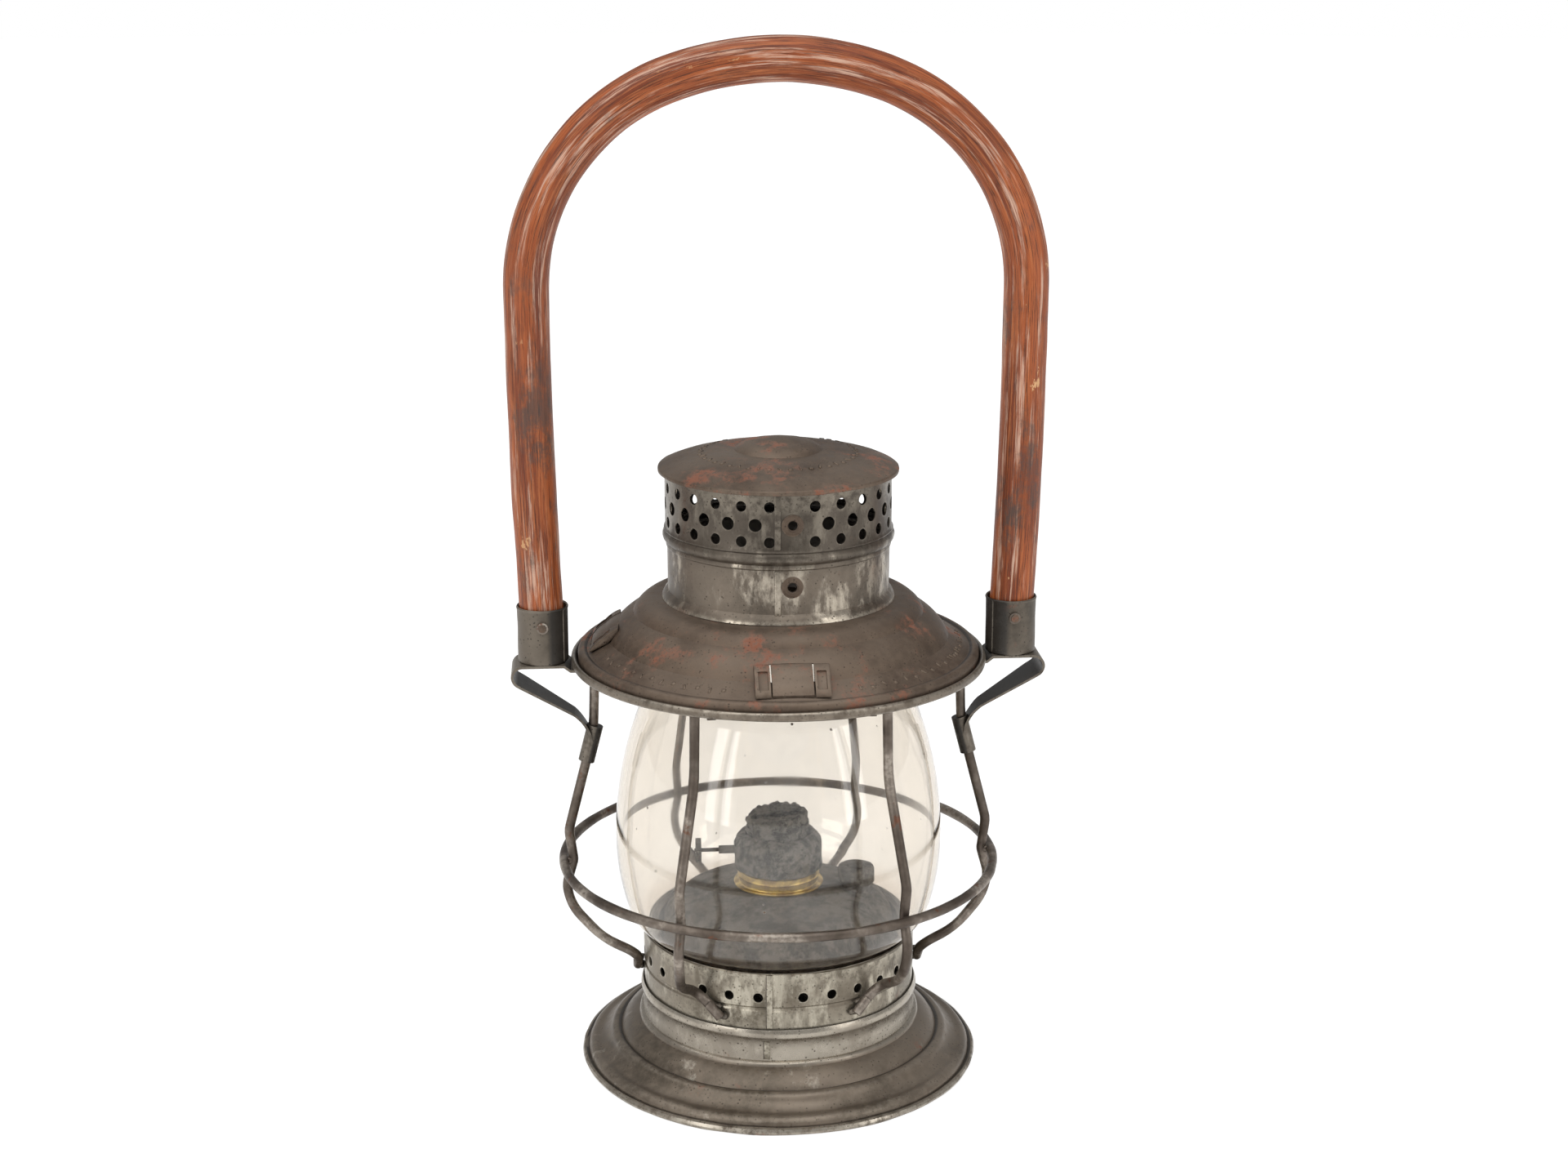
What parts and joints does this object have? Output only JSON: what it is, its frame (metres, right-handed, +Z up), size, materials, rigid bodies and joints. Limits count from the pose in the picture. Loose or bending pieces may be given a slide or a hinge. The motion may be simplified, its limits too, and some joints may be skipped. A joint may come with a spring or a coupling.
{
  "type": "railroad hand lantern",
  "caption": "Wick-burning hand lantern: bell foot, round glass globe in a wire guard, hinged domed lid with a perforated chimney, and a tall bent-wood bail.",
  "frame": {"origin": "on the floor at the middle of the round base", "axes": "+Z up along the lantern's axis; front (latch) at -Y, lid hinge at +Y; bail legs at +X and -X"},
  "size_m": [0.2152, 0.1806, 0.417],
  "materials": {
    "aged_tin": "aged tinplate with brown patina",
    "worn_tin": "tinplate worn bright, with pits and rust specks",
    "rusty_tin": "brown tinplate with rust-red patches",
    "guard_wire": "brown iron wire with worn highlights",
    "dark_iron": "dark grey-green sheet iron",
    "bail_wood": "worn red-brown varnish on streaky bent wood",
    "clear_glass": "clear glass with a faint warm tint",
    "old_brass": "dull yellow brass",
    "sooty_tin": "dusty soot-grey tin",
    "wick_cotton": "charred flat-woven cotton"
  },
  "bodies": {
    "frame": {"base_bell": "aged_tin", "base_rim_wire": "guard_wire", "vent_collar": "worn_tin", "globe_plate": "worn_tin", "fount_seat": "sooty_tin", "globe": "clear_glass", "guard_ring": "guard_wire", "guard_wire_front_a": "guard_wire", "guard_wire_front_b": "guard_wire", "guard_wire_right_a": "guard_wire", "guard_wire_right_b": "guard_wire", "guard_wire_left_a": "guard_wire", "guard_wire_left_b": "guard_wire", "top_ring": "aged_tin", "ring_lugs": "guard_wire", "bail": "bail_wood", "ferrule_right": "dark_iron", "ferrule_left": "dark_iron", "ferrule_nails": "guard_wire", "bail_bracket_right": "dark_iron", "bail_bracket_left": "dark_iron", "bracket_rivets": "guard_wire", "ring_hinge_leaf": "rusty_tin", "hinge_pin": "guard_wire", "fount_body": "sooty_tin", "fount_screw_ring": "old_brass", "burner_shell": "sooty_tin", "burner_head": "sooty_tin", "wick_tube": "sooty_tin", "spindle_bush": "sooty_tin", "filler_neck": "sooty_tin"},
    "lid": {"lid_dome": "rusty_tin", "chimney": "worn_tin", "chimney_eyelets": "worn_tin", "chimney_cap": "rusty_tin", "globe_retainer": "rusty_tin", "lid_hinge_leaf": "rusty_tin"},
    "latch": {"lid_latch": "rusty_tin"},
    "spindle": {"wick_spindle": "sooty_tin", "thumb_wheel": "sooty_tin"},
    "wick": {"wick": "wick_cotton"},
    "filler_cap": {"filler_cap": "sooty_tin"}
  },
  "joints": [
    {"name": "lid_hinge", "type": "hinge", "parent": "frame", "child": "lid", "pos_m": [0, 0.08635, 0.1735], "axis": [-1, 0, 0], "range_deg": [0, 110]},
    {"name": "latch_press", "type": "hinge", "parent": "lid", "child": "latch", "pos_m": [0, -0.0697, 0.1868], "axis": [1, 0, 0], "range_deg": [0, 4], "stiffness_Nm_per_rad": 0.2},
    {"name": "wick_turn", "type": "hinge", "parent": "frame", "child": "spindle", "pos_m": [0, 0.0056, 0.0864], "axis": [-1, 0, 0], "range_deg": [-100, 38]},
    {"name": "wick_lift", "type": "slide", "parent": "frame", "child": "wick", "axis": [0, 0, 1], "range_m": [-0.0075, 0.0028]},
    {"name": "filler_cap_turn", "type": "hinge", "parent": "frame", "child": "filler_cap", "pos_m": [0.0325, 0, 0.076], "axis": [0, 0, 1], "range_deg": [0, 300]}
  ],
  "couplings": [
    {"joint": "wick_turn", "follows": "wick_lift", "rad_per_m": 232.56}
  ]
}
